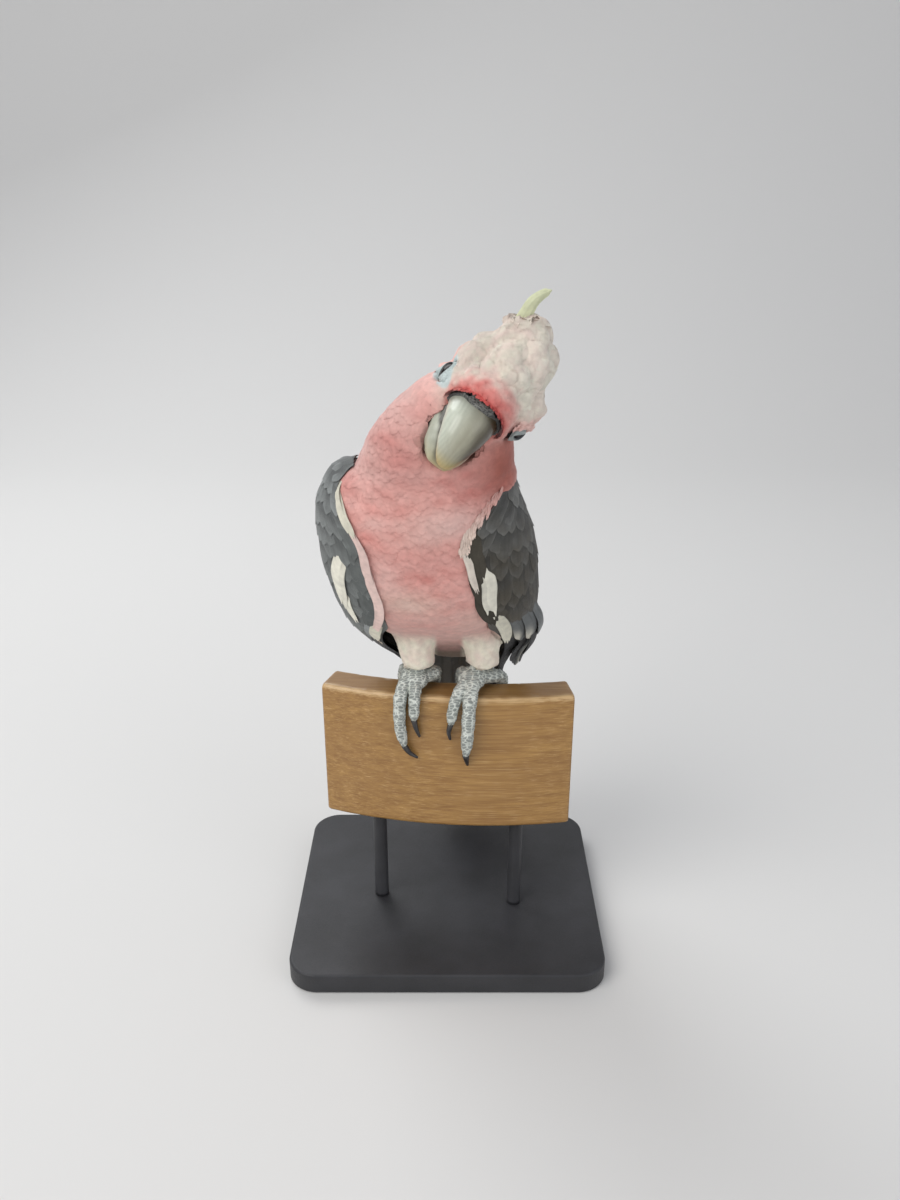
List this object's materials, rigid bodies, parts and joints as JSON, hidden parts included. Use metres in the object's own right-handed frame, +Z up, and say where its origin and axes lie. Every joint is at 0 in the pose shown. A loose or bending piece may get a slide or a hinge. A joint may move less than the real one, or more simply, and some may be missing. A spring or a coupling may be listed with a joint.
{
  "type": "galah figure",
  "caption": "Life-size galah, a pink and grey cockatoo, head tilted, gripping a short length of curved wooden rail on a plain two-rod display stand.",
  "frame": {"origin": "middle of the stand base's underside, on the floor", "axes": "+Z up, the bird's breast faces -Y, the bird's left side is +X"},
  "size_m": [0.17, 0.1697, 0.3576],
  "materials": {
    "pink_feathers": "soft feather",
    "pale_feathers": "soft feather",
    "plume_feather": "smooth feather",
    "grey_feathers": "smooth feather",
    "dark_feathers": "smooth feather",
    "bill_horn": "satin horn",
    "cere_skin": "rough skin",
    "eye": "wet gloss",
    "foot_skin": "scaly skin",
    "claw_horn": "satin horn",
    "perch_wood": "varnished, worn",
    "stand_paint": "matt paint"
  },
  "bodies": {
    "root": {"perch_rail": "perch_wood", "bill_upper": "bill_horn", "bill_lower": "bill_horn", "cere": "cere_skin", "eye_left": "eye", "eye_right": "eye", "head": "pale_feathers", "crest": "pale_feathers", "crest_plume": "plume_feather", "foot_left": "foot_skin", "thigh_left": "pale_feathers", "toe_left_inner_front": "foot_skin", "claw_left_inner_front": "claw_horn", "toe_left_outer_front": "foot_skin", "claw_left_outer_front": "claw_horn", "toe_left_inner_back": "foot_skin", "claw_left_inner_back": "claw_horn", "toe_left_outer_back": "foot_skin", "claw_left_outer_back": "claw_horn", "foot_right": "foot_skin", "thigh_right": "pale_feathers", "toe_right_inner_front": "foot_skin", "claw_right_inner_front": "claw_horn", "toe_right_outer_front": "foot_skin", "claw_right_outer_front": "claw_horn", "toe_right_inner_back": "foot_skin", "claw_right_inner_back": "claw_horn", "toe_right_outer_back": "foot_skin", "claw_right_outer_back": "claw_horn", "wing_left": "grey_feathers", "wing_tip_left": "dark_feathers", "wing_right": "grey_feathers", "wing_tip_right": "dark_feathers", "trunk": "pink_feathers", "neck": "pink_feathers", "tail": "dark_feathers", "stand_base": "stand_paint", "stand_rod_left": "stand_paint", "stand_rod_right": "stand_paint"}
  },
  "joints": []
}
